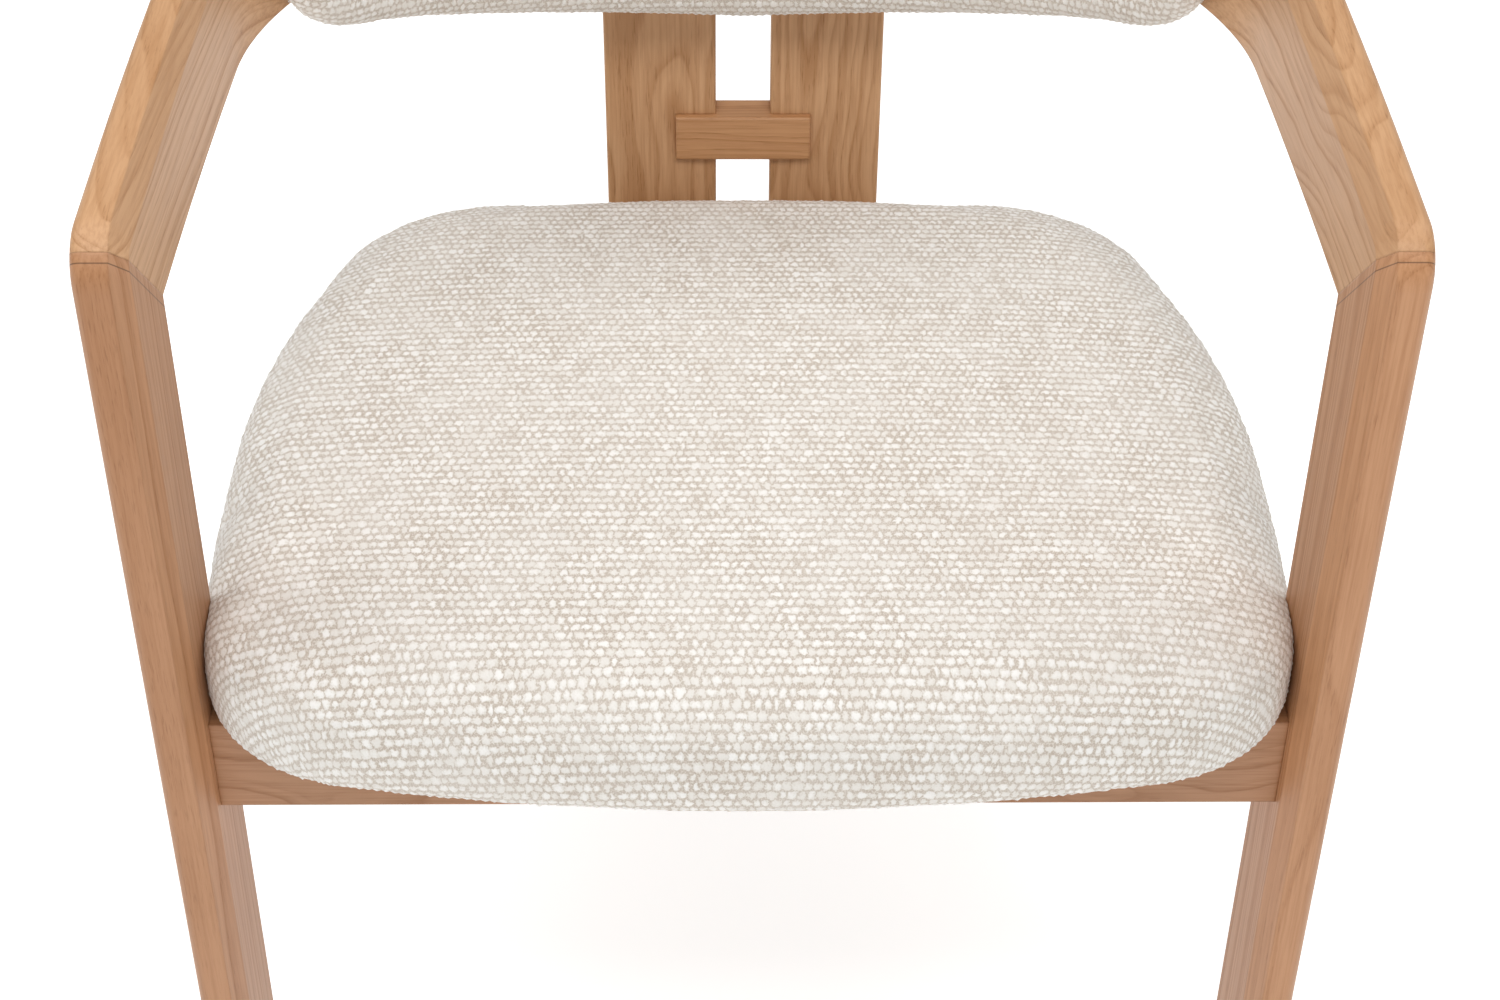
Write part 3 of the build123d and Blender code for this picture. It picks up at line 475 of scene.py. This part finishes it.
def upholster(name, shape):
    # the cloth as a grid in line with its threads, with weave["perNub"] steps to a nub
    stepU = weave["pitch"] / weave["perNub"]
    stepV = weave["row"] / weave["perNub"]
    points, normals = contourPoints(shape["outline"], shape["roll"])
    # the grid reaches past the hem on every side
    reach = shape["roll"] * 1.6 + shape["thickness"] + shape["tuck"] + 10 * mm
    low = points.min(0) - reach
    high = points.max(0) + reach
    countU = int((high[0] - low[0]) / stepU)
    countV = int((high[1] - low[1]) / stepV)
    i, j = np.meshgrid(np.arange(countU), np.arange(countV), indexing="ij")
    firstU = math.floor(low[0] / stepU)
    firstV = math.floor(low[1] / stepV)
    u = (i + firstU).ravel() * stepU
    v = (j + firstV).ravel() * stepV
    flat = np.stack([u, v], 1)
    outside, foot, normal = signedDistance(flat, points, normals)
    thickness = shape["thicknessAt"](foot[:, 0])
    length = rolledEdge(outside, thickness, shape["roll"], shape["lowRoll"], shape["tuck"])[2]
    keep = outside < length
    grid = keep.reshape(countU, countV)
    # faces with at least one kept corner; corners beyond the hem are pulled back to it
    some = grid[:-1, :-1] | grid[1:, :-1] | grid[1:, 1:] | grid[:-1, 1:]
    index = np.arange(countU * countV).reshape(countU, countV)
    quads = np.stack([index[:-1, :-1][some], index[1:, :-1][some], index[1:, 1:][some],
                      index[:-1, 1:][some]], 1)
    used = np.unique(quads)
    renumber = np.full(countU * countV, -1)
    renumber[used] = np.arange(len(used))
    quads = renumber[quads]
    flat, outside, foot, normal = flat[used], outside[used], foot[used], normal[used]
    thickness, length = thickness[used], length[used]
    distance = np.minimum(outside, length)
    # the crowned top, whose slope runs on into the rolled edge
    crown, fade = shape["crown"], shape["fade"]
    settle = shape["settle"]
    inside = np.minimum(outside, 0)
    rise = crown * (1 - np.exp(inside / fade))
    sink = crown / fade * settle * (1 - np.exp(-np.maximum(distance, 0) / settle))
    out, down, _ = rolledEdge(distance, thickness - sink, shape["roll"], shape["lowRoll"], shape["tuck"])
    plan = np.where(outside[:, None] > 0, foot + normal * out[:, None], flat)
    height = thickness + rise - np.where(outside > 0, down + sink, 0)
    height = np.maximum(height, 0)
    places = shape["bend"](plan, height)
    mesh = bpy.data.meshes.new(name)
    mesh.from_pydata(places.tolist(), [], quads.tolist())
    mesh.update()
    layer = mesh.uv_layers.new(name="weave")
    corner = np.zeros(len(mesh.loops), int)
    mesh.loops.foreach_get("vertex_index", corner)
    uv = np.stack([flat[:, 0] / weave["pitch"], flat[:, 1] / weave["row"]], 1)[corner]
    layer.data.foreach_set("uv", uv.astype(np.float32).ravel())
    piece = bpy.data.objects.new(name, mesh)
    scene.collection.objects.link(piece)
    threads = np.stack([np.round(flat[:, 0] / stepU), np.round(flat[:, 1] / stepV)], 1)
    return piece, threads, distance / length


swell = {
    "weld": 0.4 * mm,
    "quality": 5,
    "mass": 0.4,
    "stretch": 12.0,
    "bending": 2.0,
}


def weldedForm(piece, shape):
    # a closed copy of the piece, a little smaller, to be plumped
    form = piece.copy()
    form.data = piece.data.copy()
    form.name = piece.name + "_form"
    scene.collection.objects.link(form)
    mesh = bmesh.new()
    mesh.from_mesh(form.data)
    bmesh.ops.remove_doubles(mesh, verts=mesh.verts, dist=swell["weld"])
    mesh.normal_update()
    for vert in mesh.verts:
        vert.co -= vert.normal * shape["inset"]
    # the open back is closed from the hem to the middle
    hem = [edge for edge in mesh.edges if edge.is_boundary]
    inner = {vert: mesh.verts.new(shape["closeTo"](vert.co)) for edge in hem for vert in edge.verts}
    for first, second in [edge.verts for edge in hem]:
        mesh.faces.new((first, second, inner[second], inner[first]))
    mesh.to_mesh(form.data)
    mesh.free()
    return form


def plumped(form, shape):
    # cloth under air pressure swells between its held edges; how far it may move is capped
    bpy.context.view_layer.objects.active = form
    remesh = form.modifiers.new("remesh", "REMESH")
    remesh.mode = "VOXEL"
    remesh.voxel_size = shape["voxel"]
    depsgraph = bpy.context.evaluated_depsgraph_get()
    mesh = bpy.data.meshes.new_from_object(form.evaluated_get(depsgraph))
    form.modifiers.clear()
    form.data = mesh
    start = np.zeros(len(mesh.vertices) * 3, np.float32)
    mesh.vertices.foreach_get("co", start)
    start = start.reshape(-1, 3)
    held = form.vertex_groups.new(name="held")
    fixed = np.where(shape["held"](start))[0].tolist()
    held.add(fixed, 1.0, "REPLACE")
    cloth = form.modifiers.new("cloth", "CLOTH")
    cloth.settings.quality = swell["quality"]
    cloth.settings.mass = swell["mass"]
    cloth.settings.tension_stiffness = swell["stretch"]
    cloth.settings.compression_stiffness = swell["stretch"]
    cloth.settings.bending_stiffness = swell["bending"]
    cloth.settings.use_pressure = True
    cloth.settings.uniform_pressure_force = shape["pressure"]
    cloth.settings.effector_weights.gravity = 0.0
    cloth.settings.vertex_group_mass = "held"
    cloth.point_cache.frame_start = 1
    cloth.point_cache.frame_end = shape["frames"]
    for number in range(1, shape["frames"] + 1):
        scene.frame_set(number)
    depsgraph = bpy.context.evaluated_depsgraph_get()
    swollen = bpy.data.meshes.new_from_object(form.evaluated_get(depsgraph))
    form.modifiers.clear()
    end = np.zeros(len(swollen.vertices) * 3, np.float32)
    swollen.vertices.foreach_get("co", end)
    move = end.reshape(-1, 3) - start
    size = np.linalg.norm(move, axis=1)
    limit = np.minimum(1.0, shape["moveLimit"] / np.maximum(size, 1e-9))
    print(form.name, "moved up to", round(float(size.max()) / mm, 1), "mm")
    mesh.vertices.foreach_set("co", (start + move * limit[:, None]).ravel())
    mesh.update()
    scene.frame_set(1)
    return form


def layOver(piece, form, threads, wrap, shape):
    # the cloth takes the plumped form, then its nubs stand up
    surface = BVHTree.FromObject(form, bpy.context.evaluated_depsgraph_get()) if form else None
    mesh = piece.data
    normals = [v.normal.copy() for v in mesh.vertices]
    count = len(normals)
    random = np.random.default_rng(shape["seed"])
    row = np.floor(threads[:, 1] / 2)
    onNub = (threads[:, 1] % 2 == 1) & ((threads[:, 0] + row) % 2 == 1)
    lift = np.where(onNub, weave["nubUp"], weave["gapDown"]) * random.uniform(*weave["uneven"], count)
    lift = (lift + random.normal(0, weave["stray"], count)) * weave["nubHeight"]
    places = np.zeros((count, 3))
    search = weave["search"]
    for i, vert in enumerate(mesh.vertices):
        place = vert.co
        if surface and wrap[i] < shape["followTo"]:
            hit = surface.ray_cast(place + normals[i] * search, -normals[i], search * 2)[0]
            if hit:
                place = hit
        fade = 1.0 if wrap[i] < shape["followTo"] else weave["hemLift"]
        places[i] = place + normals[i] * float(lift[i]) * fade
    if "press" in shape:
        places = shape["press"](places)
    mesh.vertices.foreach_set("co", places.astype(np.float32).ravel())
    mesh.update()
    mesh.polygons.foreach_set("use_smooth", [True] * len(mesh.polygons))


def arcPoints(centre, radius, first, last, step=1.0 * mm):
    count = max(3, int(abs(math.radians(last - first)) * radius / step))
    turns = np.radians(np.linspace(first, last, count))
    return np.stack([centre[0] + radius * np.cos(turns), centre[1] + radius * np.sin(turns)], 1)


def evenly(points, step=1.0 * mm):
    # the closed line through the points, with points an even step apart
    closed = np.vstack([points, points[:1]])
    lengths = np.linalg.norm(np.diff(closed, axis=0), axis=1)
    along = np.concatenate([[0], np.cumsum(lengths)])
    places = np.linspace(0, along[-1], int(along[-1] / step), endpoint=False)
    return np.stack([np.interp(places, along, closed[:, k]) for k in (0, 1)], 1)


def smoothLoop(points, passes):
    for _ in range(passes):
        points = (np.roll(points, 1, 0) + points * 2 + np.roll(points, -1, 0)) / 4
    return points


# seat cushion
seat = {
    "roll": 20 * mm,             # radius of the upper edge
    "lowRoll": 11 * mm,          # radius of the lower edge
    "thickness": 58 * mm,
    "tuck": 34 * mm,             # how far the cloth runs in underneath
    "crown": 8 * mm,
    "fade": 62 * mm,             # over what distance the crown falls to the edge
    "settle": 12 * mm,
    "voxel": 6 * mm,
    "pressure": 4.0,
    "frames": 9,
    "moveLimit": 6 * mm,
    "inset": 1.5 * mm,           # the form starts this much smaller
    "followTo": 0.72,            # the part of the way to the hem that follows the swollen form
    "seed": 4,
    "fill": 0.85,
    "frontBow": 33 * mm,
    "backBow": 15 * mm,
    "frontCorner": 92 * mm,
    "backCorner": 110 * mm,
    "frontSide": 1700 * mm,
    "backSide": 525 * mm,
    "widestAt": 190 * mm,
    "wider": 8.0 * mm,           # beyond the foam on each side
    "heldTo": 14 * mm,
    "legGap": 0.4 * mm,
    "swellBehind": 0.5,
    "restGap": 0.2 * mm,
}


def bowed(start, middle, end):
    # points on the circle through three places
    start, middle, end = [complex(*place) for place in (start, middle, end)]
    ratio = (end - start) / (middle - start)
    centre = (start - middle) * (ratio - abs(ratio) ** 2) / (2j * ratio.imag) - start
    centre = -centre
    first = np.angle(start - centre)
    sweep = np.angle((end - centre) / (start - centre))
    turns = first + np.linspace(0, 1, 400) * sweep
    return np.stack([centre.real + abs(start - centre) * np.cos(turns),
                     centre.imag + abs(start - centre) * np.sin(turns)], 1)


def roundCorner(loop, corner, radius):
    # the corner of a closed line replaced by a conic that is nearly an arc
    start = int(np.argmin(np.linalg.norm(loop - np.array(corner), axis=1)))
    loop = np.roll(loop, -start, 0)
    before = loop[-14] - loop[-4]
    after = loop[14] - loop[4]
    cosine = before @ after / (np.linalg.norm(before) * np.linalg.norm(after))
    half = math.acos(float(np.clip(cosine, -1, 1))) / 2
    run = radius / math.tan(half)
    along = np.concatenate([[0], np.cumsum(np.linalg.norm(np.diff(loop, axis=0), axis=1))])
    first = int(np.searchsorted(along, run))
    last = int(np.searchsorted(along, along[-1] - run))
    t = np.linspace(0, 1, 120)[1:-1, None]
    weight = math.sin(half)
    curve = ((1 - t) ** 2 * loop[last] + 2 * weight * t * (1 - t) * np.array(corner) + t ** 2 * loop[first])
    curve = curve / ((1 - t) ** 2 + 2 * weight * t * (1 - t) + t ** 2)
    return evenly(np.vstack([loop[first:last + 1], curve]), 2 * mm)


def seatOutline():
    # D shape from above: bowed front, wide front corners, very round back corners
    half = seatBox[1].x + seat["wider"]
    low = seatBox[0].y
    high = seatBox[1].y
    widest = frontY + seat["widestAt"]
    frontEnd = low + seat["frontBow"]
    backEnd = high - seat["backBow"]
    frontCentre = half - seat["frontSide"]
    backCentre = half - seat["backSide"]
    frontSide = arcPoints((frontCentre, widest), seat["frontSide"],
                          math.degrees(math.asin((frontEnd - widest) / seat["frontSide"])), 0)
    backSide = arcPoints((backCentre, widest), seat["backSide"],
                         0, math.degrees(math.asin((backEnd - widest) / seat["backSide"])))
    side = np.vstack([frontSide[:-1], backSide])
    otherSide = side[::-1] * (-1, 1)
    loop = np.vstack([bowed(otherSide[-1], (0, low), side[0]), side[1:],
                      bowed(side[-1], (0, high), otherSide[0]), otherSide[1:-1]])
    corners = ((side[0], seat["frontCorner"]), (side[-1], seat["backCorner"]),
               (otherSide[0], seat["backCorner"]), (otherSide[-1], seat["frontCorner"]))
    loop = evenly(loop, 2 * mm)
    for corner, radius in corners:
        loop = roundCorner(loop, corner, radius)
    return smoothLoop(evenly(loop), 40)


seatBase = seatBox[0].z
seat["outline"] = seatOutline()
seat["thicknessAt"] = lambda across: np.full(len(across), seat["thickness"])
seat["bend"] = lambda plan, height: np.column_stack([plan, seatBase + height])
seat["held"] = lambda places: places[:, 2] < seatBase + seat["heldTo"]
seat["closeTo"] = lambda place: (0.0, 0.0, place.z)


def pressedByLegs(places):
    # the cushion flattens against the front legs, swells again behind them and rests on the rails
    past = np.maximum(places[:, 1] - frontLeg[1].y, 0)
    room = frontLeg[0].x - seat["legGap"] + past * seat["swellBehind"]
    places[:, 0] = np.clip(places[:, 0], -room, room)
    places[:, 2] = np.maximum(places[:, 2], seatBase + seat["restGap"])
    return places


seat["press"] = pressedByLegs

# back pad: the same sheet, bent round the inside of the crest rail
pad = {
    "roll": 15 * mm,
    "lowRoll": 6 * mm,
    "thickness": 44 * mm,
    "endThickness": 25 * mm,
    "tuck": 14 * mm,
    "crown": 5 * mm,
    "fade": 40 * mm,
    "settle": 8 * mm,
    "voxel": 5 * mm,
    "pressure": 4.0,
    "frames": 7,
    "moveLimit": 4 * mm,
    "inset": 0.5 * mm,
    "followTo": 0.75,
    "seed": 9,
    "fill": 0.85,
    "heldWithin": 8 * mm,
    "halfLength": 306 * mm,
    "corner": 48 * mm,
    "droop": 32 * mm,            # how much lower the pad stands at its ends than in the middle
    "crestRadius": 359.1 * mm,
    "bendRadius": 170 * mm,
    "bendFrom": 60.0,
    "clear": 1.5 * mm,
    "lower": 4.5 * mm,           # below the middle of its foam
    "taller": 0.7 * mm,
    "panelEvery": 3,
    "panelRings": 14,
    "panelMiddle": 0.86,
    "panelLift": 0.6 * mm,
}
padMiddle = (padBox[0].z + padBox[1].z) / 2 - pad["lower"]
padHalf = (padBox[1].z - padBox[0].z) / 2 + pad["taller"]
crestInner = crestBox[1].y - plank
crestCentre = np.array([0.0, crestInner - pad["crestRadius"]])
turnEnd = math.radians(pad["bendFrom"])
bendCentre = crestCentre + (pad["crestRadius"] - pad["bendRadius"]) * np.array(
    [math.cos(turnEnd), math.sin(turnEnd)])
crestHalfLength = pad["crestRadius"] * (math.pi / 2 - turnEnd)


def padOutline():
    # a long panel whose edges draw in towards its round ends
    across = np.linspace(-1, 1, 400) * pad["halfLength"]
    end = pad["halfLength"] - np.abs(across)
    corner = pad["corner"]
    rounding = corner - np.sqrt(np.maximum(corner ** 2 - np.maximum(corner - end, 0) ** 2, 0))
    half = padHalf - pad["droop"] * (np.abs(across) / (0.87 * pad["halfLength"])) ** 1.5 - rounding
    half = np.maximum(half, 0)
    lower = np.stack([across, -half], 1)
    upper = np.stack([-across, half[::-1]], 1)
    return smoothLoop(evenly(np.vstack([lower, upper])), 20)


def padBend(plan, height):
    # along the crest's inner face, then round the tighter bend, with height towards the sitter
    along = np.abs(plan[:, 0])
    side = np.where(plan[:, 0] < 0, -1.0, 1.0)
    onCrest = along <= crestHalfLength
    turn = np.where(onCrest, math.pi / 2 - along / pad["crestRadius"],
                    turnEnd - (along - crestHalfLength) / pad["bendRadius"])
    radius = np.where(onCrest, pad["crestRadius"], pad["bendRadius"]) - height - pad["clear"]
    centreX = np.where(onCrest, crestCentre[0], bendCentre[0])
    centreY = np.where(onCrest, crestCentre[1], bendCentre[1])
    return np.column_stack([side * (centreX + radius * np.cos(turn)), centreY + radius * np.sin(turn),
                            padMiddle + plan[:, 1]])


def padThickness(across):
    share = np.clip(np.abs(across) / pad["halfLength"], 0, 1)
    return pad["thickness"] - (pad["thickness"] - pad["endThickness"]) * share ** 1.8


pad["outline"] = padOutline()
pad["thicknessAt"] = padThickness
pad["bend"] = padBend


def padHeld(places):
    # the back face stays on the crest
    reach = np.where(np.abs(places[:, 0]) < crestHalfLength,
                     np.hypot(places[:, 0], places[:, 1] - crestCentre[1]) - pad["crestRadius"],
                     np.hypot(np.abs(places[:, 0]) - bendCentre[0],
                              places[:, 1] - bendCentre[1]) - pad["bendRadius"])
    return reach > -pad["heldWithin"]


pad["held"] = padHeld
pad["closeTo"] = lambda place: (place.x, place.y, padMiddle)

clothOf = {"seat": wovenCloth("basket_weave_seat", "ffffff"),
           "pad": wovenCloth("basket_weave_back", "ffffff")}


def backPanel(name, shape):
    # the flat panel that closes the back of the pad inside its hem
    points, normals = contourPoints(shape["outline"], shape["lowRoll"] + shape["tuck"] * 0.5)
    edge = points[::shape["panelEvery"]]
    steps = shape["panelRings"]
    # rings shrink towards the middle line, so that the panel keeps the pad's bend
    middle = np.stack([edge[:, 0] * shape["panelMiddle"], np.zeros(len(edge))], 1)
    rings = [edge * (1 - k / steps) + middle * (k / steps) for k in range(steps + 1)]
    flat = np.vstack(rings)
    count = len(rings[0])
    quads = []
    for k in range(steps):
        for i in range(count):
            nextI = (i + 1) % count
            quads.append((k * count + i, (k + 1) * count + i, (k + 1) * count + nextI, k * count + nextI))
    places = shape["bend"](flat, np.full(len(flat), shape["panelLift"]))
    mesh = bpy.data.meshes.new(name)
    mesh.from_pydata(places.tolist(), [], quads)
    layer = mesh.uv_layers.new(name="weave")
    corner = np.zeros(len(mesh.loops), int)
    mesh.loops.foreach_get("vertex_index", corner)
    uv = np.stack([flat[:, 0] / weave["pitch"], flat[:, 1] / weave["row"]], 1)[corner]
    layer.data.foreach_set("uv", uv.astype(np.float32).ravel())
    mesh.polygons.foreach_set("use_smooth", [True] * len(mesh.polygons))
    piece = bpy.data.objects.new(name, mesh)
    scene.collection.objects.link(piece)
    return piece


for key, name, shape, nodes, slotName in (
        ("seat", "seat_upholstery", seat, ("seat_cover", "seat_foam"), "seat_fabric"),
        ("pad", "back_upholstery", pad, ("back_cover", "back_foam", "back_board"), "back_fabric")):
    print("cloth of the", key)
    cloth, threads, wrap = upholster(name, shape)
    form = None
    form = plumped(weldedForm(cloth, shape), shape)
    layOver(cloth, form, threads, wrap, shape)
    if form:
        bpy.data.objects.remove(form)
    cloth.data.materials.append(clothOf[key])
    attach(cloth, "root")
    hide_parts(*nodes)
    print(name, len(cloth.data.polygons) * 2, "triangles")

panel = backPanel("back_panel", pad)
panel.data.materials.append(clothOf["pad"])
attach(panel, "root")

print("studio")
studio = {
    "floorWidth": 14.0,
    "floorTones": ("f4f4f3", "f7f7f6"),
    "floorGlow": 0.62,
    "worldStrength": 0.38,
    "keyPower": 8.8,
    "fillPower": 7.0,
    "topPower": 10.2,
    "frontPower": 20.0,
}
floorMesh = bmesh.new()
bmesh.ops.create_grid(floorMesh, x_segments=24, y_segments=24, size=studio["floorWidth"] / 2)
floorData = bpy.data.meshes.new("floor")
floorMesh.to_mesh(floorData)
floorMesh.free()
floor = bpy.data.objects.new("floor", floorData)
floor.location = (0, 0, cadBounds[0][2])
scene.collection.objects.link(floor)
floorMaterial, tree = newMaterial("white_paper_floor")
place = addNode(tree, "ShaderNodeTexCoord").outputs["Object"]
mottle = addNode(tree, "ShaderNodeTexNoise", {"Vector": place, "Scale": 3.0, "Detail": 2.0},
                 noise_dimensions="3D")
tone = addNode(tree, "ShaderNodeMix", {0: mottle.outputs[0], 6: linear(studio["floorTones"][0]),
                                         7: linear(studio["floorTones"][1])},
               data_type="RGBA")
shader = addNode(tree, "ShaderNodeBsdfPrincipled", {
    "Base Color": tone.outputs[2], "Roughness": 0.9, "Specular IOR Level": 0.1,
    "Emission Color": (1.0, 1.0, 1.0, 1.0), "Emission Strength": studio["floorGlow"]})
addNode(tree, "ShaderNodeOutputMaterial", {0: shader.outputs[0]})
floorData.materials.append(floorMaterial)

world = bpy.data.worlds.new("studio")
scene.world = world
world.use_nodes = True
world.node_tree.nodes.clear()
sky = addNode(world.node_tree, "ShaderNodeBackground", {
    0: (1.0, 0.995, 0.985, 1.0), 1: studio["worldStrength"]})
addNode(world.node_tree, "ShaderNodeOutputWorld", {0: sky.outputs[0]})
scene.view_settings.view_transform = "Standard"


def softbox(name, place, target, size, power):
    light = bpy.data.lights.new(name, "AREA")
    light.shape = "RECTANGLE"
    light.size = size[0]
    light.size_y = size[1]
    light.energy = power
    lamp = bpy.data.objects.new(name, light)
    lamp.location = place
    lamp.rotation_euler = (Vector(target) - Vector(place)).to_track_quat("-Z", "Y").to_euler()
    scene.collection.objects.link(lamp)


aim = (0.0, 0.0, seatBox[1].z)
softbox("key", (-1.35, 0.0, 2.1), aim, (1.1, 1.1), studio["keyPower"])
softbox("fill", (1.45, 0.3, 2.1), aim, (1.1, 1.1), studio["fillPower"])
softbox("top", (0.0, 0.3, 2.6), aim, (2.4, 1.6), studio["topPower"])
softbox("front", (0.0, -1.1, 2.1), (0.0, 0.3, 0.75), (1.6, 0.6), studio["frontPower"])

view = {
    "stand": (-0.0163, frontY - 0.9168, 1.2317),
    "tiltDown": 37.0,
    "turn": -0.934,
    "lean": 0.464,
    "lens": 60.98,
}
cameraData = bpy.data.cameras.new("camera")
cameraData.sensor_width = 36.0
cameraData.lens = view["lens"]
cameraData.clip_start = 0.05
camera = bpy.data.objects.new("camera", cameraData)
camera.matrix_world = (Matrix.Translation(view["stand"])
                       @ Matrix.Rotation(math.radians(view["turn"]), 4, "Z")
                       @ Matrix.Rotation(math.radians(90 - view["tiltDown"]), 4, "X")
                       @ Matrix.Rotation(math.radians(view["lean"]), 4, "Z"))
scene.collection.objects.link(camera)
scene.camera = camera
